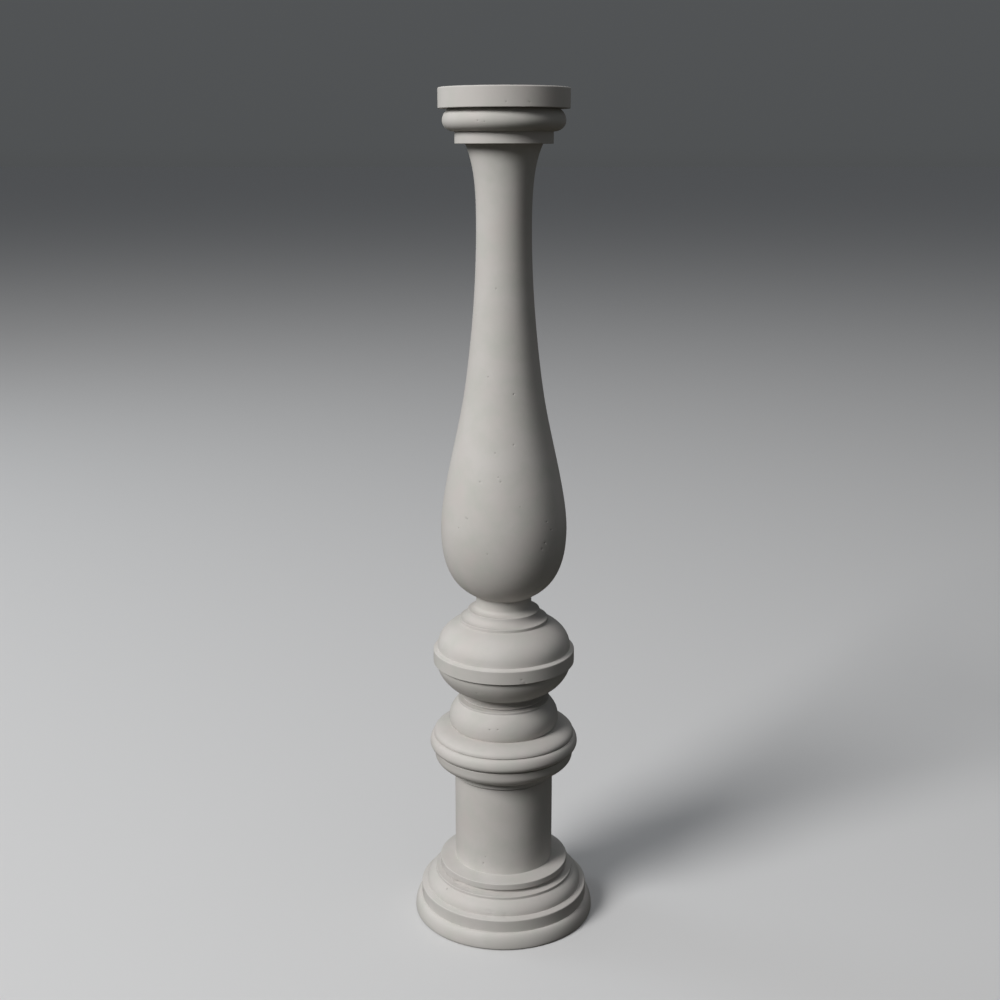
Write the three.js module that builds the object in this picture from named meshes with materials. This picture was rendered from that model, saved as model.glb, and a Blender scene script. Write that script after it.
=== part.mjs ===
import * as THREE from 'three';

// A turned stone baluster, one block from its moulded foot to its top disc.
// Millimetres, +Z up, standing on its flat underside with the origin at the middle of it.
// The members are named from the ground up. The shaft takes whatever height they leave it.

const HEIGHT = 900;
const FLATS_ROUND = 44;
const QUARTER_ROUND_STEPS = 4;
const SMALL_ROUND_STEPS = 2;
const BULB_STEPS = 6;
const BELLY_STEPS = 7;
const SHAFT_STEPS = 5;

// Foot: a heavy roll with a slightly smaller bed under it.
const BED_RADIUS = 98;
const FOOT_ROLL_RADIUS = 100.3;
const FOOT_ROLL_WIDEST_AT = 2.2;
const FOOT_ROLL_HEIGHT = 17.7;

// Plate: an upright band with a ledge on it that sheds water.
const PLATE_RADIUS = 93.1;
const PLATE_HEIGHT = 13.7;
const PLATE_LEDGE_RISE = 2;

// Base ovolo: a quarter round that carries a low step with a steep slope.
const BASE_OVOLO_RADIUS = 86.9;
const BASE_OVOLO_HEIGHT = 14;
const STEP_RADIUS = 77.1;
const STEP_HEIGHT = 3.4;
const STEP_SLOPE_RISE = 5.6;

// Drum fillet and plain drum.
const DRUM_FILLET_RADIUS = 71.5;
const DRUM_FILLET_HEIGHT = 6.5;
const DRUM_LEDGE_RISE = 2.1;
const DRUM_RADIUS = 54.3;
const DRUM_HEIGHT = 103.4;

// Ring: an ovolo, a roll and a shoulder, parted by two sharp grooves.
const RING_FILLET_RADIUS = 57.2;
const RING_FILLET_HEIGHT = 4.5;
const RING_OVOLO_FOOT_RADIUS = 53.5;
const RING_OVOLO_RADIUS = 77.1;
const RING_OVOLO_HEIGHT = 16.5;
const RING_FACE_HEIGHT = 6.7;
const RING_FACE_LEAN = 0.8;
const RING_GROOVE_RADIUS = 74.2;
const RING_UPPER_GROOVE_RADIUS = 75.6;
const RING_GROOVE_WIDTH = 0.6;
const RING_ROLL_RADIUS = 81.6;
const RING_ROLL_LOWER_HEIGHT = 6.6;
const RING_ROLL_UPPER_HEIGHT = 9.4;
const SHOULDER_RADIUS = 77.3;
const SHOULDER_UPRIGHT = 0.9;
const SHOULDER_HEIGHT = 9.5;

// Bell: it swells a little from its foot, then draws in to a pair of thin fillets and a deep throat.
const BELL_RADIUS = 60.2;
const BELL_RETURN = 2.6;
const BELL_RETURN_HEIGHT = 9;
const BELL_HEIGHT = 28.6;
const BELL_FILLET_RADIUS = 50.4;
const BELL_FILLET_HEIGHT = 2.4;
const THROAT_FILLET_RADIUS = 45;
const THROAT_FILLET_HEIGHT = 2.7;
const THROAT_RADIUS = 36;
const THROAT_HEIGHT = 8;

// Double bulb: a bowl below, a dome above, and an upright band between them.
const BULB_RADIUS = 73.1;
const BOWL_FOOT_RADIUS = 46.3;
const BOWL_HEIGHT = 31.9;
const BAND_RADIUS = 77;
const BAND_HEIGHT = 14.5;
const BAND_LIP_RISE = 1.9;
const DOME_RADIUS = 72.5;
const DOME_HEIGHT = 30.5;

// Two crisp edges between the dome and the shaft.
const DOME_FILLET_RADIUS = 47.9;
const DOME_FILLET_HEIGHT = 3.4;
const COVE_RADIUS = 38.9;
const COVE_HEIGHT = 9.5;
const NECK_RADIUS = 30;
const NECK_COVE_HEIGHT = 4.6;
const NECK_HEIGHT = 10.8;

// Shaft: a pear-shaped belly that thins to a waist and flares under the collar.
const BELLY_RADIUS = 67.3;
const SHAFT_MIDDLE_RADIUS = 44.3;
const WAIST_RADIUS = 28.5;
const FLARE_RADIUS = 39.3;

// Head: collar, roll and top disc.
const COLLAR_RADIUS = 49.8;
const COLLAR_HEIGHT = 11.8;
const HEAD_ROLL_RADIUS = 62.2;
const HEAD_ROLL_LOWER_HEIGHT = 10.6;
const HEAD_ROLL_UPPER_HEIGHT = 11.6;
const HEAD_ROLL_INSET = 6.7;
const DISC_RADIUS = 66.3;
const DISC_HEIGHT = 20;

// How far an arc turns from upright, in degrees: 90 is a quarter round, less stops it at a slope.
const QUARTER = 90;
const BASE_OVOLO_SWEEP = 47;
const RING_OVOLO_SWEEP = 58;
const BELL_RETURN_SWEEP = 60;
const BELL_SWEEP = 31.6;
const SHOULDER_SWEEP = 86;
const HEAD_ROLL_UPPER_SWEEP = 54;

// Handles of the bulb's two curves, as shares of the run and the rise of each curve.
const BOWL_HANDLES = { footRun: 0.52, footRise: 0.09, topRise: 0.355 };
const DOME_HANDLES = { footRise: 0.585, topRun: 0.353, topRise: 0.13 };

// The shaft's curves. Heights and upright handles are shares of the shaft's height, the two runs
// are shares of how far each curve goes out, and the slope is run over rise.
const SHAFT = {
  bellyAt: 0.157,
  bellyLower: 0.113,
  bellyUpper: 0.073,
  footRun: 0.411,
  footRise: 0.017,
  middleAt: 0.435,
  middleSlope: 0.19,
  middleLower: 0.104,
  middleUpper: 0.06,
  waistAt: 0.829,
  waistLower: 0.167,
  waistUpper: 0.071,
  flareRise: 0.044,
  flareRun: 0.875,
};

const stone = new THREE.MeshStandardMaterial({
  name: 'pale stone',
  color: new THREE.Color('#bdb9b3'),
  roughness: 0.78,
  metalness: 0,
});

// Cuts the outline of a turning from the ground up. Every cut starts where the last one ended.
class Outline {
  constructor() {
    this.points = [new THREE.Vector2(0, 0)];
  }

  get radius() {
    return this.points.at(-1).x;
  }

  get height() {
    return this.points.at(-1).y;
  }

  // Straight cut. A cut of no length is left out.
  slope(radius, rise) {
    const end = new THREE.Vector2(radius, this.height + rise);
    if (end.distanceTo(this.points.at(-1)) > 0) this.points.push(end);
    return this;
  }

  ledge(radius) {
    return this.slope(radius, 0);
  }

  upright(rise) {
    return this.slope(this.radius, rise);
  }

  // Round that starts upright and leans in as it rises.
  roundIn(radius, rise, sweep = QUARTER, steps = QUARTER_ROUND_STEPS) {
    const start = new THREE.Vector2(this.radius, this.height);
    const whole = THREE.MathUtils.degToRad(sweep);
    for (let step = 1; step <= steps; step += 1) {
      const turn = (whole * step) / steps;
      const inward = (1 - Math.cos(turn)) / (1 - Math.cos(whole));
      const upward = Math.sin(turn) / Math.sin(whole);
      this.points.push(new THREE.Vector2(
        start.x + (radius - start.x) * inward,
        start.y + rise * upward,
      ));
    }
    return this;
  }

  // Round that swells out as it rises and ends upright.
  roundOut(radius, rise, sweep = QUARTER, steps = QUARTER_ROUND_STEPS) {
    const start = new THREE.Vector2(this.radius, this.height);
    const whole = THREE.MathUtils.degToRad(sweep);
    for (let step = steps - 1; step >= 0; step -= 1) {
      const turn = (whole * step) / steps;
      const inward = (1 - Math.cos(turn)) / (1 - Math.cos(whole));
      const upward = Math.sin(turn) / Math.sin(whole);
      this.points.push(new THREE.Vector2(
        radius + (start.x - radius) * inward,
        start.y + rise * (1 - upward),
      ));
    }
    return this;
  }

  // Cove: starts flat and ends upright, hollow to the outside.
  cove(radius, rise, steps = QUARTER_ROUND_STEPS) {
    const start = new THREE.Vector2(this.radius, this.height);
    for (let step = 1; step <= steps; step += 1) {
      const turn = (Math.PI / 2) * (step / steps);
      this.points.push(new THREE.Vector2(
        start.x + (radius - start.x) * Math.sin(turn),
        start.y + rise * (1 - Math.cos(turn)),
      ));
    }
    return this;
  }

  // Half-round hollow down to a smallest radius and out again.
  throat(smallest, end, rise) {
    const start = new THREE.Vector2(this.radius, this.height);
    for (let step = 1; step <= QUARTER_ROUND_STEPS; step += 1) {
      const share = step / QUARTER_ROUND_STEPS;
      const rim = THREE.MathUtils.lerp(start.x, end, share);
      const depth = Math.sin(Math.PI * share);
      const up = (1 - Math.cos(Math.PI * share)) / 2;
      this.points.push(new THREE.Vector2(rim + (smallest - rim) * depth, start.y + rise * up));
    }
    return this;
  }

  // Free curve, with both handles given from its start as run and rise.
  curve(firstHandle, secondHandle, radius, rise, steps) {
    const start = new THREE.Vector2(this.radius, this.height);
    const curve = new THREE.CubicBezierCurve(
      start,
      new THREE.Vector2(...firstHandle).add(start),
      new THREE.Vector2(...secondHandle).add(start),
      new THREE.Vector2(radius, start.y + rise),
    );
    this.points.push(...curve.getPoints(steps).slice(1));
    return this;
  }
}

function cutBase(outline) {
  outline.ledge(BED_RADIUS);
  outline.roundOut(FOOT_ROLL_RADIUS, FOOT_ROLL_WIDEST_AT, QUARTER, SMALL_ROUND_STEPS);
  outline.roundIn(PLATE_RADIUS, FOOT_ROLL_HEIGHT - FOOT_ROLL_WIDEST_AT);
  outline.upright(PLATE_HEIGHT);
  outline.slope(BASE_OVOLO_RADIUS, PLATE_LEDGE_RISE);
  outline.roundIn(STEP_RADIUS, BASE_OVOLO_HEIGHT, BASE_OVOLO_SWEEP);
  outline.upright(STEP_HEIGHT);
  outline.slope(DRUM_FILLET_RADIUS, STEP_SLOPE_RISE);
  outline.upright(DRUM_FILLET_HEIGHT);
  outline.slope(DRUM_RADIUS, DRUM_LEDGE_RISE);
  outline.upright(DRUM_HEIGHT);
}

function cutRing(outline) {
  outline.ledge(RING_FILLET_RADIUS).upright(RING_FILLET_HEIGHT);
  outline.ledge(RING_OVOLO_FOOT_RADIUS);
  outline.roundOut(RING_OVOLO_RADIUS - RING_FACE_LEAN, RING_OVOLO_HEIGHT, RING_OVOLO_SWEEP);
  outline.slope(RING_OVOLO_RADIUS, RING_FACE_HEIGHT);
  outline.ledge(RING_GROOVE_RADIUS).upright(RING_GROOVE_WIDTH);
  outline.roundOut(RING_ROLL_RADIUS, RING_ROLL_LOWER_HEIGHT);
  outline.roundIn(RING_UPPER_GROOVE_RADIUS, RING_ROLL_UPPER_HEIGHT);
  outline.upright(RING_GROOVE_WIDTH).ledge(SHOULDER_RADIUS).upright(SHOULDER_UPRIGHT);
  outline.roundIn(BELL_RADIUS - BELL_RETURN, SHOULDER_HEIGHT, SHOULDER_SWEEP);
}

function cutBell(outline) {
  outline.roundOut(BELL_RADIUS, BELL_RETURN_HEIGHT, BELL_RETURN_SWEEP, SMALL_ROUND_STEPS);
  outline.roundIn(BELL_FILLET_RADIUS, BELL_HEIGHT - BELL_RETURN_HEIGHT, BELL_SWEEP);
  outline.upright(BELL_FILLET_HEIGHT);
  outline.ledge(THROAT_FILLET_RADIUS).upright(THROAT_FILLET_HEIGHT);
  outline.throat(THROAT_RADIUS, BOWL_FOOT_RADIUS, THROAT_HEIGHT);
}

function cutDoubleBulb(outline) {
  const bowlRun = BULB_RADIUS - BOWL_FOOT_RADIUS;
  outline.curve(
    [bowlRun * BOWL_HANDLES.footRun, BOWL_HEIGHT * BOWL_HANDLES.footRise],
    [bowlRun, BOWL_HEIGHT * (1 - BOWL_HANDLES.topRise)],
    BULB_RADIUS,
    BOWL_HEIGHT,
    BULB_STEPS,
  );
  outline.ledge(BAND_RADIUS).upright(BAND_HEIGHT).slope(DOME_RADIUS, BAND_LIP_RISE);
  const domeRun = DOME_FILLET_RADIUS - DOME_RADIUS;
  outline.curve(
    [0, DOME_HEIGHT * DOME_HANDLES.footRise],
    [domeRun * (1 - DOME_HANDLES.topRun), DOME_HEIGHT * (1 - DOME_HANDLES.topRise)],
    DOME_FILLET_RADIUS,
    DOME_HEIGHT,
    BULB_STEPS,
  );
}

function cutNeck(outline) {
  outline.upright(DOME_FILLET_HEIGHT);
  outline.cove(COVE_RADIUS, COVE_HEIGHT);
  outline.cove(NECK_RADIUS, NECK_COVE_HEIGHT, SMALL_ROUND_STEPS);
  outline.upright(NECK_HEIGHT);
}

function cutShaft(outline, height) {
  const bellyOut = BELLY_RADIUS - NECK_RADIUS;
  const middleIn = SHAFT_MIDDLE_RADIUS - BELLY_RADIUS;
  const waistIn = WAIST_RADIUS - SHAFT_MIDDLE_RADIUS;
  const flareOut = FLARE_RADIUS - WAIST_RADIUS;
  const bellyRise = SHAFT.bellyAt * height;
  const middleRise = (SHAFT.middleAt - SHAFT.bellyAt) * height;
  const waistRise = (SHAFT.waistAt - SHAFT.middleAt) * height;
  const flareRise = (1 - SHAFT.waistAt) * height;
  const lowerHandle = SHAFT.middleLower * height;
  const upperHandle = SHAFT.middleUpper * height;
  outline.curve(
    [bellyOut * SHAFT.footRun, SHAFT.footRise * height],
    [bellyOut, bellyRise - SHAFT.bellyLower * height],
    BELLY_RADIUS,
    bellyRise,
    BELLY_STEPS,
  );
  outline.curve(
    [0, SHAFT.bellyUpper * height],
    [middleIn + lowerHandle * SHAFT.middleSlope, middleRise - lowerHandle],
    SHAFT_MIDDLE_RADIUS,
    middleRise,
    SHAFT_STEPS,
  );
  outline.curve(
    [-upperHandle * SHAFT.middleSlope, upperHandle],
    [waistIn, waistRise - SHAFT.waistLower * height],
    WAIST_RADIUS,
    waistRise,
    SHAFT_STEPS,
  );
  outline.curve(
    [0, SHAFT.waistUpper * height],
    [flareOut * (1 - SHAFT.flareRun), flareRise - SHAFT.flareRise * height],
    FLARE_RADIUS,
    flareRise,
    SHAFT_STEPS,
  );
}

function cutHead(outline) {
  outline.ledge(COLLAR_RADIUS).upright(COLLAR_HEIGHT);
  outline.roundOut(HEAD_ROLL_RADIUS, HEAD_ROLL_LOWER_HEIGHT);
  outline.roundIn(HEAD_ROLL_RADIUS - HEAD_ROLL_INSET, HEAD_ROLL_UPPER_HEIGHT, HEAD_ROLL_UPPER_SWEEP);
  outline.ledge(DISC_RADIUS).upright(DISC_HEIGHT).ledge(0);
}

function buildBaluster() {
  const outline = new Outline();
  cutBase(outline);
  cutRing(outline);
  cutBell(outline);
  cutDoubleBulb(outline);
  cutNeck(outline);
  const headHeight = COLLAR_HEIGHT + HEAD_ROLL_LOWER_HEIGHT + HEAD_ROLL_UPPER_HEIGHT + DISC_HEIGHT;
  cutShaft(outline, HEIGHT - headHeight - outline.height);
  cutHead(outline);
  const geometry = new THREE.LatheGeometry(outline.points, FLATS_ROUND);
  geometry.rotateX(Math.PI / 2);
  const mesh = new THREE.Mesh(geometry, stone);
  mesh.name = 'baluster';
  return mesh;
}

const group = new THREE.Group();
group.add(buildBaluster());

export default group;
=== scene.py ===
import math
import random

import bmesh
import bpy
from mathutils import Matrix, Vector, geometry, kdtree, noise


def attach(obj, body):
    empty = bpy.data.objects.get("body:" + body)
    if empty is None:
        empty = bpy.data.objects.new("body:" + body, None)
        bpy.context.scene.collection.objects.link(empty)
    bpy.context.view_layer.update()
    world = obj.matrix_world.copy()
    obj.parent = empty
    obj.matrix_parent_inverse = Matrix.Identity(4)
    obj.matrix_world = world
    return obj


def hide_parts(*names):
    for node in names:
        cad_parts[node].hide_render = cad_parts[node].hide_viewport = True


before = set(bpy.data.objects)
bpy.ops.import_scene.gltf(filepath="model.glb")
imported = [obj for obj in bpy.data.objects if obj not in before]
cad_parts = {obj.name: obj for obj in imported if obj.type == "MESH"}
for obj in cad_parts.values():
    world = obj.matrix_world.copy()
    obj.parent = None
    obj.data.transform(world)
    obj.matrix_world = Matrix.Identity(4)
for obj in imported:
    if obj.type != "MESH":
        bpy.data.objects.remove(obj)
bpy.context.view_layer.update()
mm = 0.001

# The stone baluster. Sizes are in mm, the members come from the ground up, and every height starts where
# the one before it ended. The foot roll's widest place and the bell's return lie within those members' own
# heights. A sweep says how far an arc turns from upright, in degrees.
baluster = {
    "height": 900,
    "bedRadius": 98, "footRollRadius": 100.3, "footRollWidestAt": 2.2, "footRollHeight": 17.7,
    "plateRadius": 93.1, "plateHeight": 13.7, "plateLedgeRise": 2,
    "baseOvoloRadius": 86.9, "baseOvoloHeight": 14, "baseOvoloSweep": 47,
    "stepRadius": 77.1, "stepHeight": 3.4, "stepSlopeRise": 5.6,
    "drumFilletRadius": 71.5, "drumFilletHeight": 6.5, "drumLedgeRise": 2.1,
    "drumRadius": 54.3, "drumHeight": 103.4,
    "ringFilletRadius": 57.2, "ringFilletHeight": 4.5,
    "ringOvoloFootRadius": 53.5, "ringOvoloRadius": 77.1, "ringOvoloHeight": 16.5, "ringOvoloSweep": 58,
    "ringFaceHeight": 6.7, "ringFaceLean": 0.8,
    "ringGrooveRadius": 74.2, "ringUpperGrooveRadius": 75.6, "ringGrooveWidth": 0.6,
    "ringRollRadius": 81.6, "ringRollLower": 6.6, "ringRollUpper": 9.4,
    "shoulderRadius": 77.3, "shoulderUpright": 0.9, "shoulderHeight": 9.5, "shoulderSweep": 86,
    "bellRadius": 60.2, "bellReturn": 2.6, "bellReturnHeight": 9, "bellReturnSweep": 60,
    "bellHeight": 28.6, "bellSweep": 31.6, "bellFilletRadius": 50.4, "bellFilletHeight": 2.4,
    "throatFilletRadius": 45, "throatFilletHeight": 2.7, "throatRadius": 36, "throatHeight": 8,
    "bulbRadius": 73.1, "bowlFootRadius": 46.3, "bowlHeight": 31.9,
    "bandRadius": 77, "bandHeight": 14.5, "bandLipRise": 1.9,
    "domeRadius": 72.5, "domeHeight": 30.5,
    "domeFilletRadius": 47.9, "domeFilletHeight": 3.4,
    "coveRadius": 38.9, "coveHeight": 9.5,
    "neckRadius": 30, "neckCoveHeight": 4.6, "neckHeight": 10.8,
    "bellyRadius": 67.3, "shaftMiddleRadius": 44.3, "waistRadius": 28.5, "flareRadius": 39.3,
    "collarRadius": 49.8, "collarHeight": 11.8,
    "headRollRadius": 62.2, "headRollLower": 10.6, "headRollUpper": 11.6,
    "headRollInset": 6.7, "headRollSweep": 54,
    "discRadius": 66.3, "discHeight": 20,

    # thin quirks where two members meet
    "stepQuirkHeight": 2.7, "stepQuirkDrop": 2.6, "stepQuirkDepth": 4.2,
    "filletQuirkHeight": 2.5, "filletQuirkDepth": 1.3,
    "bandQuirkHeight": 2, "bandQuirkDepth": 1,
    "throatQuirkHeight": 1.8, "throatQuirkDepth": 2.6,

    # handles of the free curves, as shares of each curve's run and rise, and on the shaft of its height
    "bowlFootRun": 0.52, "bowlFootRise": 0.09, "bowlTopRise": 0.355,
    "domeFootRise": 0.585, "domeTopRun": 0.353, "domeTopRise": 0.13,
    "bellyAt": 0.157, "bellyLower": 0.113, "bellyUpper": 0.073, "bellyFootRun": 0.411, "bellyFootRise": 0.017,
    "middleAt": 0.435, "middleSlope": 0.19, "middleLower": 0.104, "middleUpper": 0.06,
    "waistAt": 0.829, "waistLower": 0.167, "waistUpper": 0.071,
    "flareRise": 0.044, "flareRun": 0.875,

    # how much of each arris has worn to a round
    "discTopWear": 1.2, "discFootWear": 0.5, "collarWear": 0.5, "bandTopWear": 0.8, "bandFootWear": 0.5,
    "filletWear": 0.7, "stepWear": 0.8, "plateWear": 1, "fineWear": 0.4,

    # the mesh: steps round, the longest step between two rings, steps over an arris, how far a guard point
    # stands off it, the crease that is still shaded over, and how near two points are one
    "stepsRound": 120, "longestStep": 3.4, "arrisSteps": 4, "guardAway": 0.35, "smoothUpTo": 32,
    "samePlace": 0.01,
    # steps along the arcs that aren't cut with the usual number, and along the free curves
    "footRollLowerSteps": 5, "baseOvoloSteps": 9, "ringRollSteps": 9, "bellReturnSteps": 6,
    "headRollLowerSteps": 10, "bowlSteps": 16, "domeSteps": 16,
    "bellySteps": 34, "middleSteps": 50, "waistSteps": 70, "flareSteps": 34,

    # the surface was rubbed smooth by hand, so it dips a little but never stands out
    "waveDepth": 0.14, "waveLength": 55,

    # small pits where they show: height, degrees round from the front, radius and depth
    "pits": (
        (884.6, 1.5, 0.8, 0.5), (884.3, 21.5, 0.8, 0.4), (867.4, -24.5, 0.9, 0.6), (866.5, -18, 0.8, 0.5),
        (704.7, -15.5, 0.8, 0.5), (616, -25, 0.9, 0.4), (598.8, 14, 1.0, 0.5), (548.4, 11.5, 1.0, 0.5),
        (540, -10, 0.9, 0.5), (510.5, -25, 1.0, 0.5), (516.2, -6, 0.9, 0.4), (511.5, -3.5, 0.9, 0.5),
        (471.4, -35.5, 0.9, 0.5), (460, -45, 0.9, 0.5), (467, 42, 1.0, 0.6), (457.4, 47, 0.9, 0.6),
        (445.3, 39, 1.0, 0.6), (439, 36, 0.8, 0.5), (436.5, -15, 0.9, 0.5), (486.1, 15, 0.8, 0.4),
        (282.7, -25, 1.0, 0.6), (238.7, -15, 1.0, 0.7), (239.3, -6.5, 1.0, 0.7), (77, -24.5, 1.1, 0.7),
        (85, -22, 0.9, 0.5), (45.4, -52, 1.2, 0.8), (302.4, 14, 1.1, 0.5),
    ),
    # more of them round the sides and the back, clear of the bed and of the axis
    "scatteredPits": {"count": 70, "fromTurn": 62, "radius": (0.6, 1.0), "depth": (0.3, 0.7), "apart": 14,
                      "clearOfBed": 6, "clearOfAxis": 20},
    # chips on the arrises
    "chips": (
        (298.2, 16.5, 1.6, 0.5), (31, 143, 2.6, 1.2), (899.4, -150, 2.4, 1.1), (311.4, 195, 2.0, 0.9),
        (62.8, 104, 1.9, 0.9), (880.3, 118, 1.8, 0.9), (846.3, -98, 1.5, 0.7), (50.6, -128, 1.7, 0.8),
    ),
    # patches that have weathered rough, with their reach in place of the radius
    "roughPatches": (
        (53.4, -50, 10, 0.6), (52, -70, 9, 0.5), (51.5, -32, 8, 0.45), (35, -10, 7, 0.5), (34, 2, 5, 0.4),
        (40, 128, 12, 0.35), (306, -140, 9, 0.3),
    ),
    # faces near a mark are cut finer, as far as this margin beyond it
    "markCuts": 3, "markMargin": 1.6,
    # lumps on a rough patch and in a pit or chip: their lengths, and how strong the small ones are
    "lumpLength": 2.6, "smallLumpLength": 1.1, "smallLumpShare": 0.6,
    "pitLumpLength": 0.9, "pitLumpShare": 0.35,
    # where old dust has filled the quirk above the step, in degrees round, how far inside the fillet's face
    # it stays, and how far off a point of the quirk may lie
    "siltFrom": -150, "siltTo": -52, "siltFade": 12, "siltInset": 0.12, "siltSlack": 0.1,
    "seed": 7,
}


def cut(outline, radius, rise, wear=0):  # straight cut, with the wear of the corner at its end
    outline.append((radius, outline[-1][1] + rise, wear))


def roundIn(outline, radius, rise, sweep=90, steps=12, wear=0):  # starts upright, leans in
    startRadius, startHeight = outline[-1][:2]
    whole = math.radians(sweep)
    for step in range(1, steps + 1):
        turn = whole * step / steps
        inward = (1 - math.cos(turn)) / (1 - math.cos(whole))
        upward = math.sin(turn) / math.sin(whole)
        outline.append((startRadius + (radius - startRadius) * inward, startHeight + rise * upward,
                        wear if step == steps else 0))


def roundOut(outline, radius, rise, sweep=90, steps=12):  # swells out, ends upright
    startRadius, startHeight = outline[-1][:2]
    whole = math.radians(sweep)
    for step in range(steps - 1, -1, -1):
        turn = whole * step / steps
        inward = (1 - math.cos(turn)) / (1 - math.cos(whole))
        upward = math.sin(turn) / math.sin(whole)
        outline.append((radius + (startRadius - radius) * inward, startHeight + rise * (1 - upward), 0))


def hollow(outline, radius, rise, steps=10, wear=0):  # cove: starts flat, ends upright
    startRadius, startHeight = outline[-1][:2]
    for step in range(1, steps + 1):
        turn = math.pi / 2 * step / steps
        outline.append((startRadius + (radius - startRadius) * math.sin(turn),
                        startHeight + rise * (1 - math.cos(turn)), wear if step == steps else 0))


def throat(outline, smallest, end, rise, steps=10):  # half-round hollow, in and out again
    startRadius, startHeight = outline[-1][:2]
    for step in range(1, steps + 1):
        share = step / steps
        rim = startRadius + (end - startRadius) * share
        outline.append((rim + (smallest - rim) * math.sin(math.pi * share),
                        startHeight + rise * (1 - math.cos(math.pi * share)) / 2, 0))


def freeCurve(outline, firstHandle, secondHandle, radius, rise, steps):  # handles count from its start
    start = Vector(outline[-1][:2])
    points = geometry.interpolate_bezier(
        start, start + Vector(firstHandle), start + Vector(secondHandle), (radius, start.y + rise), steps + 1)
    for point in points[1:]:
        outline.append((point.x, point.y, 0))


def quirk(outline, depth, height):  # thin groove, open to the outside
    radius = outline[-1][0]
    cut(outline, radius - depth, 0)
    cut(outline, radius - depth, height)
    cut(outline, radius, 0)


def cutBase(outline, s):
    cut(outline, s["bedRadius"], 0)
    roundOut(outline, s["footRollRadius"], s["footRollWidestAt"], steps=s["footRollLowerSteps"])
    roundIn(outline, s["plateRadius"], s["footRollHeight"] - s["footRollWidestAt"])
    cut(outline, s["plateRadius"], s["plateHeight"], s["plateWear"])
    cut(outline, s["baseOvoloRadius"], s["plateLedgeRise"])
    roundIn(outline, s["stepRadius"], s["baseOvoloHeight"], s["baseOvoloSweep"], s["baseOvoloSteps"],
            s["fineWear"])
    cut(outline, s["stepRadius"], s["stepHeight"], s["stepWear"])
    slopeTop = s["stepSlopeRise"] - s["stepQuirkDrop"]
    hollow(outline, s["drumFilletRadius"] - s["stepQuirkDepth"], slopeTop)
    cut(outline, s["drumFilletRadius"] - s["stepQuirkDepth"], s["stepQuirkHeight"])
    cut(outline, s["drumFilletRadius"], 0)
    faceHeight = s["drumFilletHeight"] + s["stepQuirkDrop"] - s["stepQuirkHeight"]
    cut(outline, s["drumFilletRadius"], faceHeight, s["stepWear"])
    cut(outline, s["drumRadius"], s["drumLedgeRise"], s["fineWear"])
    cut(outline, s["drumRadius"], s["drumHeight"] - s["filletQuirkHeight"])
    quirk(outline, s["filletQuirkDepth"], s["filletQuirkHeight"])


def cutRing(outline, s):
    cut(outline, s["ringFilletRadius"], 0, s["fineWear"])
    cut(outline, s["ringFilletRadius"], s["ringFilletHeight"], s["fineWear"])
    cut(outline, s["ringOvoloFootRadius"], 0)
    roundOut(outline, s["ringOvoloRadius"] - s["ringFaceLean"], s["ringOvoloHeight"], s["ringOvoloSweep"])
    cut(outline, s["ringOvoloRadius"], s["ringFaceHeight"], s["fineWear"])
    cut(outline, s["ringGrooveRadius"], 0)
    cut(outline, s["ringGrooveRadius"], s["ringGrooveWidth"])
    roundOut(outline, s["ringRollRadius"], s["ringRollLower"], steps=s["ringRollSteps"])
    roundIn(outline, s["ringUpperGrooveRadius"], s["ringRollUpper"], steps=s["ringRollSteps"])
    cut(outline, s["ringUpperGrooveRadius"], s["ringGrooveWidth"])
    cut(outline, s["shoulderRadius"], 0, s["fineWear"])
    cut(outline, s["shoulderRadius"], s["shoulderUpright"])
    roundIn(outline, s["bellRadius"] - s["bellReturn"], s["shoulderHeight"], s["shoulderSweep"])


def cutBell(outline, s):
    roundOut(outline, s["bellRadius"], s["bellReturnHeight"], s["bellReturnSweep"], s["bellReturnSteps"])
    roundIn(outline, s["bellFilletRadius"], s["bellHeight"] - s["bellReturnHeight"], s["bellSweep"])
    cut(outline, s["bellFilletRadius"], s["bellFilletHeight"], s["fineWear"])
    cut(outline, s["throatFilletRadius"], 0)
    quirk(outline, s["throatQuirkDepth"], s["throatQuirkHeight"])
    cut(outline, s["throatFilletRadius"], s["throatFilletHeight"] - s["throatQuirkHeight"])
    throat(outline, s["throatRadius"], s["bowlFootRadius"], s["throatHeight"])


def cutDoubleBulb(outline, s):
    bowlRun = s["bulbRadius"] - s["bowlFootRadius"]
    bowlRise = s["bowlHeight"] - s["bandQuirkHeight"]
    freeCurve(outline, (bowlRun * s["bowlFootRun"], bowlRise * s["bowlFootRise"]),
              (bowlRun, bowlRise * (1 - s["bowlTopRise"])), s["bulbRadius"], bowlRise, s["bowlSteps"])
    quirk(outline, s["bandQuirkDepth"], s["bandQuirkHeight"])
    cut(outline, s["bandRadius"], 0, s["bandFootWear"])
    cut(outline, s["bandRadius"], s["bandHeight"], s["bandTopWear"])
    cut(outline, s["domeRadius"], s["bandLipRise"])
    domeRun = s["domeFilletRadius"] - s["domeRadius"]
    freeCurve(outline, (0, s["domeHeight"] * s["domeFootRise"]),
              (domeRun * (1 - s["domeTopRun"]), s["domeHeight"] * (1 - s["domeTopRise"])),
              s["domeFilletRadius"], s["domeHeight"], s["domeSteps"])


def cutNeck(outline, s):
    cut(outline, s["domeFilletRadius"], s["domeFilletHeight"], s["filletWear"])
    hollow(outline, s["coveRadius"], s["coveHeight"], wear=s["filletWear"])
    hollow(outline, s["neckRadius"], s["neckCoveHeight"])
    cut(outline, s["neckRadius"], s["neckHeight"])


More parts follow.
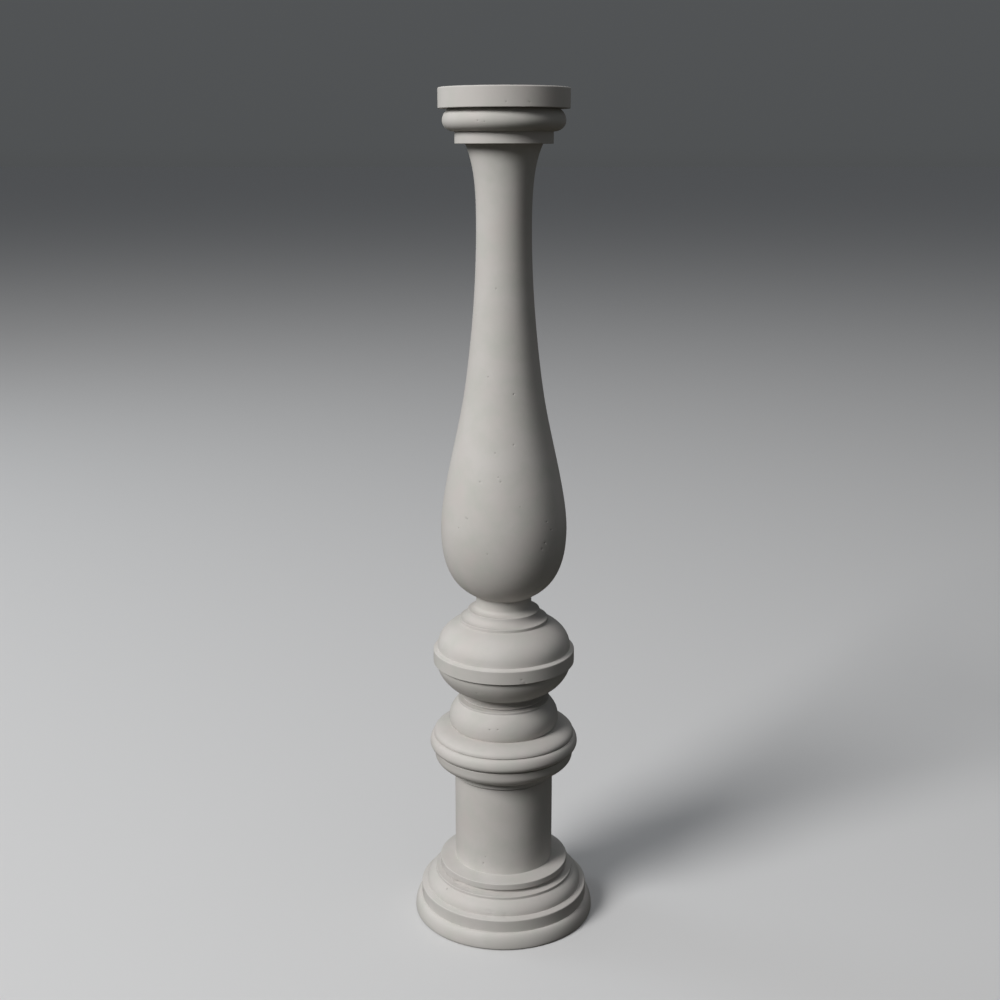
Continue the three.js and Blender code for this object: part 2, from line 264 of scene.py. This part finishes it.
def cutShaft(outline, s, height):
    bellyOut = s["bellyRadius"] - s["neckRadius"]
    middleIn = s["shaftMiddleRadius"] - s["bellyRadius"]
    waistIn = s["waistRadius"] - s["shaftMiddleRadius"]
    flareOut = s["flareRadius"] - s["waistRadius"]
    bellyRise = s["bellyAt"] * height
    middleRise = (s["middleAt"] - s["bellyAt"]) * height
    waistRise = (s["waistAt"] - s["middleAt"]) * height
    flareRise = (1 - s["waistAt"]) * height
    lowerHandle = s["middleLower"] * height
    upperHandle = s["middleUpper"] * height
    freeCurve(outline, (bellyOut * s["bellyFootRun"], s["bellyFootRise"] * height),
              (bellyOut, bellyRise - s["bellyLower"] * height),
              s["bellyRadius"], bellyRise, s["bellySteps"])
    freeCurve(outline, (0, s["bellyUpper"] * height),
              (middleIn + lowerHandle * s["middleSlope"], middleRise - lowerHandle),
              s["shaftMiddleRadius"], middleRise, s["middleSteps"])
    freeCurve(outline, (-upperHandle * s["middleSlope"], upperHandle),
              (waistIn, waistRise - s["waistLower"] * height),
              s["waistRadius"], waistRise, s["waistSteps"])
    freeCurve(outline, (0, s["waistUpper"] * height),
              (flareOut * (1 - s["flareRun"]), flareRise - s["flareRise"] * height),
              s["flareRadius"], flareRise, s["flareSteps"])


def cutHead(outline, s):
    cut(outline, s["collarRadius"], 0, s["collarWear"])
    cut(outline, s["collarRadius"], s["collarHeight"])
    roundOut(outline, s["headRollRadius"], s["headRollLower"], steps=s["headRollLowerSteps"])
    roundIn(outline, s["headRollRadius"] - s["headRollInset"], s["headRollUpper"], s["headRollSweep"])
    cut(outline, s["discRadius"], 0, s["discFootWear"])
    cut(outline, s["discRadius"], s["discHeight"], s["discTopWear"])
    cut(outline, 0, 0)


def balusterOutline(s):
    outline = [(0, 0, 0)]
    cutBase(outline, s)
    cutRing(outline, s)
    cutBell(outline, s)
    cutDoubleBulb(outline, s)
    cutNeck(outline, s)
    headHeight = s["collarHeight"] + s["headRollLower"] + s["headRollUpper"] + s["discHeight"]
    cutShaft(outline, s, s["height"] - headHeight - outline[-1][1])
    cutHead(outline, s)
    return outline


def guardPoint(corner, neighbour, wear):  # keeps a worn arris from shading the plain face beside it
    start, end = Vector(corner[:2]), Vector(neighbour[:2])
    guard = wear + baluster["guardAway"]
    if (end - start).length < guard * 2:
        return []
    place = start + (end - start).normalized() * guard
    return [(place.x, place.y, 0)]


def addGuards(outline):
    guarded = []
    for number, point in enumerate(outline):
        wear = point[2]
        if wear:
            guarded += guardPoint(point, outline[number - 1], wear)
        guarded.append(point)
        if wear:
            guarded += guardPoint(point, outline[number + 1], wear)
    return guarded


def drawWire(outline):  # the outline as a wire in the XZ plane, its arrises rounded
    bm = bmesh.new()
    wearOf = {}
    last = None
    for radius, height, wear in addGuards(outline):
        vert = bm.verts.new((radius * mm, 0, height * mm))
        if wear:
            wearOf.setdefault(wear, []).append(vert)
        if last:
            bm.edges.new((last, vert))
        last = vert
    for wear, verts in wearOf.items():
        bmesh.ops.bevel(bm, geom=verts, affect="VERTICES", offset=wear * mm, offset_type="OFFSET",
                        segments=baluster["arrisSteps"], profile=0.5, clamp_overlap=True, material=-1)
    for edge in list(bm.edges):
        onBed = max(vert.co.z for vert in edge.verts) < baluster["samePlace"] * mm
        cuts = int(edge.calc_length() / (baluster["longestStep"] * mm))
        if cuts and not onBed:
            bmesh.ops.subdivide_edges(bm, edges=[edge], cuts=cuts)
    return bm


def turnOf(place):  # degrees round from the front, plus to the right
    return math.degrees(math.atan2(place.x, -place.y))


def siltQuirk(bm):  # fills the quirk above the step with old dust, on one side only
    s = baluster
    full = s["drumFilletRadius"] * mm
    bottom = s["footRollHeight"] + s["plateHeight"] + s["plateLedgeRise"] + s["baseOvoloHeight"]
    bottom += s["stepHeight"] + s["stepSlopeRise"] - s["stepQuirkDrop"]
    top = bottom + s["stepQuirkHeight"]
    for vert in bm.verts:
        reach = vert.co.xy.length
        inHeight = (bottom - s["siltSlack"]) * mm < vert.co.z < (top + s["siltSlack"]) * mm
        if not inHeight or reach > full - 2 * s["siltSlack"] * mm:
            continue
        turn = turnOf(vert.co)
        inside = min(turn - s["siltFrom"], s["siltTo"] - turn) / s["siltFade"]
        share = min(max(inside + 1, 0), 1)
        vert.co.xy *= (reach + (full - s["siltInset"] * mm - reach) * share) / reach


def rubSurface(bm):  # the bed stays flat and the axis in its place
    depth = baluster["waveDepth"] * mm
    for vert in bm.verts:
        reach = vert.co.xy.length
        if min(vert.co.z, reach) < baluster["samePlace"] * mm:
            continue
        wave = noise.noise(vert.co / (baluster["waveLength"] * mm))
        vert.co.xy *= 1 - depth * (0.5 + 0.5 * wave) / reach


def radiusAt(outline, height):
    for (lowRadius, low, _), (highRadius, high, _) in zip(outline, outline[1:]):
        if low <= height <= high and high > low:
            return lowRadius + (highRadius - lowRadius) * (height - low) / (high - low)
    return 0


def marksOn(outline, marks):  # place on the stone, reach and depth of each mark, in metres
    placed = []
    for height, turn, reach, depth in marks:
        angle = math.radians(turn)
        radius = radiusAt(outline, height)
        place = Vector((radius * math.sin(angle), -radius * math.cos(angle), height)) * mm
        placed.append((place, reach * mm, depth * mm))
    return placed


def scatterPits(bm, taken):
    s = baluster["scatteredPits"]
    draw = random.Random(baluster["seed"])
    verts = bm.verts[:]
    placed = []
    while len(placed) < s["count"]:
        place = draw.choice(verts).co.copy()
        far = min((place - other[0]).length for other in taken + placed)
        hidden = place.z < s["clearOfBed"] * mm or place.xy.length < s["clearOfAxis"] * mm
        if hidden or far < s["apart"] * mm or abs(turnOf(place)) < s["fromTurn"]:
            continue
        placed.append((place, draw.uniform(*s["radius"]) * mm, draw.uniform(*s["depth"]) * mm))
    return placed


def finderOver(places):
    finder = kdtree.KDTree(len(places))
    for number, place in enumerate(places):
        finder.insert(place, number)
    finder.balance()
    return finder


def splitAround(bm, marks):  # finer faces where a mark is pressed
    faces = bm.faces[:]
    finder = finderOver([face.calc_center_median() for face in faces])
    edges = {}  # a dictionary keeps its order, so that each run cuts them alike
    for place, reach, _ in marks:
        for _, number, _ in finder.find_range(place, reach + baluster["markMargin"] * mm):
            edges.update(dict.fromkeys(faces[number].edges))
    bmesh.ops.subdivide_edges(bm, edges=list(edges), cuts=baluster["markCuts"], use_grid_fill=True)
    bm.normal_update()


def wearStoneAndPaintPitShade(bm, outline):
    s = baluster
    pitShade = bm.verts.layers.float.new("pitShade")  # painted shade: the colour is darkened in the pits, where shade falls
    bm.normal_update()
    pits = marksOn(outline, s["pits"])
    chips = marksOn(outline, s["chips"])
    patches = marksOn(outline, s["roughPatches"])
    pits += scatterPits(bm, pits + chips + patches)
    splitAround(bm, pits + chips + patches)
    verts = bm.verts[:]
    finder = finderOver([vert.co for vert in verts])
    for place, reach, depth in patches:
        for co, number, away in finder.find_range(place, reach):
            lump = noise.noise(co / (s["lumpLength"] * mm))
            lump += s["smallLumpShare"] * noise.noise(co / (s["smallLumpLength"] * mm))
            verts[number].co -= verts[number].normal * depth * (0.5 + lump) * (1 - (away / reach) ** 2)
    # pits get painted shade in their colour, strongest at the middle; chips get none
    for marks, takesPitShade in ((pits, 1), (chips, 0)):
        for place, radius, depth in marks:
            found = finder.find_range(place, radius)
            inward = sum((verts[number].normal for _, number, _ in found), Vector()).normalized()
            for co, number, away in found:
                share = 1 - (away / radius) ** 2
                uneven = 1 + s["pitLumpShare"] * noise.noise(co / (s["pitLumpLength"] * mm))
                verts[number].co -= inward * depth * uneven * share
                verts[number][pitShade] = takesPitShade * share


def turnBaluster():
    outline = balusterOutline(baluster)
    bm = drawWire(outline)
    bmesh.ops.spin(bm, geom=bm.verts[:] + bm.edges[:], cent=(0, 0, 0), axis=(0, 0, 1), dvec=(0, 0, 0),
                   angle=math.tau, steps=baluster["stepsRound"], use_merge=True, use_duplicate=False)
    bmesh.ops.remove_doubles(bm, verts=bm.verts[:], dist=baluster["samePlace"] * mm)
    bmesh.ops.recalc_face_normals(bm, faces=bm.faces[:])
    print("turned:", len(bm.verts), "points,", len(bm.faces), "faces")

    for edge in bm.edges:
        edge.smooth = edge.calc_face_angle(0) < math.radians(baluster["smoothUpTo"])
    for face in bm.faces:
        face.smooth = True
    siltQuirk(bm)
    rubSurface(bm)
    wearStoneAndPaintPitShade(bm, outline)
    print("worn:", sum(len(face.verts) - 2 for face in bm.faces), "triangles")
    mesh = bpy.data.meshes.new("stone_baluster")
    bm.to_mesh(mesh)
    bm.free()
    piece = bpy.data.objects.new("stone_baluster", mesh)
    bpy.context.collection.objects.link(piece)
    return piece


# Pale stone: colours, grain depth in metres, and for each noise its scale in turns per metre, its detail
# and roughness, and the low and high ends that are spread over the whole range
stoneLook = {
    "palest": (0.635, 0.614, 0.590, 1),
    "rosy": (0.610, 0.577, 0.552, 1),
    "green": (0.575, 0.574, 0.535, 1),
    # the darker colour painted into the pits as shade
    "pitShadeColour": (0.37, 0.355, 0.33, 1),
    "clouds": {"scale": 16, "detail": 3, "roughness": 0.5, "low": 0.35, "high": 0.65},
    "blotches": {"scale": 42, "detail": 4, "roughness": 0.55, "low": 0.42, "high": 0.75},
    "sheen": {"scale": 42, "detail": 3, "roughness": 0.5, "low": 0.2, "high": 0.8},
    "grain": {"scale": 900, "detail": 3, "roughness": 0.6},
    "grainDepth": 0.00002,
    "grainStrength": 0.5,
    "smoothest": 0.55,
    "roughest": 0.69,
    "specular": 0.35,
}


def paleStone():
    look = stoneLook
    material = bpy.data.materials.new("pale stone")
    material.use_nodes = True
    nodes, links = material.node_tree.nodes, material.node_tree.links
    shader = nodes["Principled BSDF"]
    shader.inputs["Specular IOR Level"].default_value = look["specular"]
    place = nodes.new("ShaderNodeTexCoord")

    def noiseOf(pattern):
        node = nodes.new("ShaderNodeTexNoise")
        node.inputs["Scale"].default_value = look[pattern]["scale"]
        node.inputs["Detail"].default_value = look[pattern]["detail"]
        node.inputs["Roughness"].default_value = look[pattern]["roughness"]
        links.new(place.outputs["Object"], node.inputs["Vector"])
        return node.outputs["Fac"]

    def spread(pattern):
        node = nodes.new("ShaderNodeMapRange")
        node.inputs["From Min"].default_value = look[pattern]["low"]
        node.inputs["From Max"].default_value = look[pattern]["high"]
        links.new(noiseOf(pattern), node.inputs["Value"])
        return node

    def mix(factor, first, second):
        node = nodes.new("ShaderNodeMix")
        node.data_type = "RGBA"
        for socket, value in (("A", first), ("B", second)):
            target = [s for s in node.inputs if s.name == socket and s.type == "RGBA"][0]
            if isinstance(value, tuple):
                target.default_value = value
            else:
                links.new(value, target)
        links.new(factor, node.inputs["Factor"])
        return [s for s in node.outputs if s.type == "RGBA"][0]

    ground = mix(spread("clouds").outputs["Result"], look["palest"], look["rosy"])
    colour = mix(spread("blotches").outputs["Result"], ground, look["green"])
    # painted shade: the pits' colour is darkened towards the shade colour
    pitShade = nodes.new("ShaderNodeAttribute")
    pitShade.attribute_name = "pitShade"
    links.new(mix(pitShade.outputs["Fac"], colour, look["pitShadeColour"]), shader.inputs["Base Color"])

    sheen = spread("sheen")
    sheen.inputs["To Min"].default_value = look["smoothest"]
    sheen.inputs["To Max"].default_value = look["roughest"]
    links.new(sheen.outputs["Result"], shader.inputs["Roughness"])

    bump = nodes.new("ShaderNodeBump")
    bump.inputs["Strength"].default_value = look["grainStrength"]
    bump.inputs["Distance"].default_value = look["grainDepth"]
    links.new(noiseOf("grain"), bump.inputs["Height"])
    links.new(bump.outputs["Normal"], shader.inputs["Normal"])
    return material


# Studio: turns are degrees round from the front, rises are degrees above level, sizes in metres. The
# world's colours go by height, from 0 straight down to 1 straight up
studio = {
    "floorReach": 60,
    "floorColour": (0.74, 0.74, 0.745, 1),
    "floorRoughness": 0.9,
    "floorSpecular": 0.1,
    "below": (0.040, 0.037, 0.030, 1),
    "belowUpTo": 0.42,
    "horizon": (0.080, 0.084, 0.087, 1),
    "horizonAt": 0.5,
    "zenith": (0.115, 0.12, 0.126, 1),
    "aimHeight": 0.5,
    "key": {"turn": -49.5, "rise": 34.3, "away": 6.8, "size": 2.9, "power": 396, "colour": (1, 0.99, 0.975)},
    "top": {"turn": 0, "rise": 90, "away": 6, "size": 4.5, "power": 60, "colour": (1, 1, 1)},
    "rim": {"turn": -116, "rise": 20, "away": 4, "size": 1.4, "power": 14, "colour": (0.86, 0.94, 1)},
}


def addFloor():
    bm = bmesh.new()
    bmesh.ops.create_grid(bm, x_segments=1, y_segments=1, size=studio["floorReach"])
    mesh = bpy.data.meshes.new("studio_floor")
    bm.to_mesh(mesh)
    bm.free()
    floor = bpy.data.objects.new("studio_floor", mesh)
    bpy.context.collection.objects.link(floor)
    material = bpy.data.materials.new("pale floor")
    material.use_nodes = True
    shader = material.node_tree.nodes["Principled BSDF"]
    shader.inputs["Base Color"].default_value = studio["floorColour"]
    shader.inputs["Roughness"].default_value = studio["floorRoughness"]
    shader.inputs["Specular IOR Level"].default_value = studio["floorSpecular"]
    mesh.materials.append(material)
    floor.visible_diffuse = False  # the floor throws no light back up, so the shadow side keeps its depth
    floor.visible_glossy = False


def addLight(name):
    look = studio[name]
    data = bpy.data.lights.new(name + "_light", "AREA")
    data.shape = "DISK"
    data.size = look["size"]
    data.energy = look["power"]
    data.color = look["colour"]
    light = bpy.data.objects.new(name + "_light", data)
    bpy.context.collection.objects.link(light)
    turn, rise = math.radians(look["turn"]), math.radians(look["rise"])
    towards = Vector((math.sin(turn) * math.cos(rise), -math.cos(turn) * math.cos(rise), math.sin(rise)))
    light.location = Vector((0, 0, studio["aimHeight"])) + towards * look["away"]
    light.rotation_euler = towards.to_track_quat("Z", "Y").to_euler()


def addWorld():
    world = bpy.data.worlds.new("studio")
    world.use_nodes = True
    nodes, links = world.node_tree.nodes, world.node_tree.links
    place = nodes.new("ShaderNodeTexCoord")
    split = nodes.new("ShaderNodeSeparateXYZ")
    links.new(place.outputs["Generated"], split.inputs["Vector"])
    height = nodes.new("ShaderNodeMapRange")
    height.inputs["From Min"].default_value = -1
    links.new(split.outputs["Z"], height.inputs["Value"])
    ramp = nodes.new("ShaderNodeValToRGB")
    ramp.color_ramp.elements[0].color = studio["below"]
    ramp.color_ramp.elements[0].position = studio["belowUpTo"]
    ramp.color_ramp.elements[1].color = studio["zenith"]
    ramp.color_ramp.elements.new(studio["horizonAt"]).color = studio["horizon"]
    links.new(height.outputs["Result"], ramp.inputs["Fac"])
    links.new(ramp.outputs["Color"], nodes["Background"].inputs["Color"])
    bpy.context.scene.world = world


# Camera: place and clip in metres, tilt in degrees from straight down, lens and sensor in mm
cameraLook = {
    "place": (-0.0041, -1.4362, 0.8432),
    "tilt": 75.724,
    "lens": 50,
    "sensor": 36,
    "nearClip": 0.05,
    "farClip": 200,
}


def addCamera():
    data = bpy.data.cameras.new("camera")
    data.lens = cameraLook["lens"]
    data.sensor_width = cameraLook["sensor"]
    data.clip_start = cameraLook["nearClip"]
    data.clip_end = cameraLook["farClip"]
    camera = bpy.data.objects.new("camera", data)
    bpy.context.collection.objects.link(camera)
    camera.location = cameraLook["place"]
    camera.rotation_euler = (math.radians(cameraLook["tilt"]), 0, 0)
    bpy.context.scene.camera = camera


piece = turnBaluster()
piece.data.materials.append(paleStone())
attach(piece, "root")
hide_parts("baluster")
print("stone ready")

addFloor()
for name in ("key", "top", "rim"):
    addLight(name)
addWorld()
addCamera()
bpy.context.scene.view_settings.view_transform = "Standard"
print("studio ready")
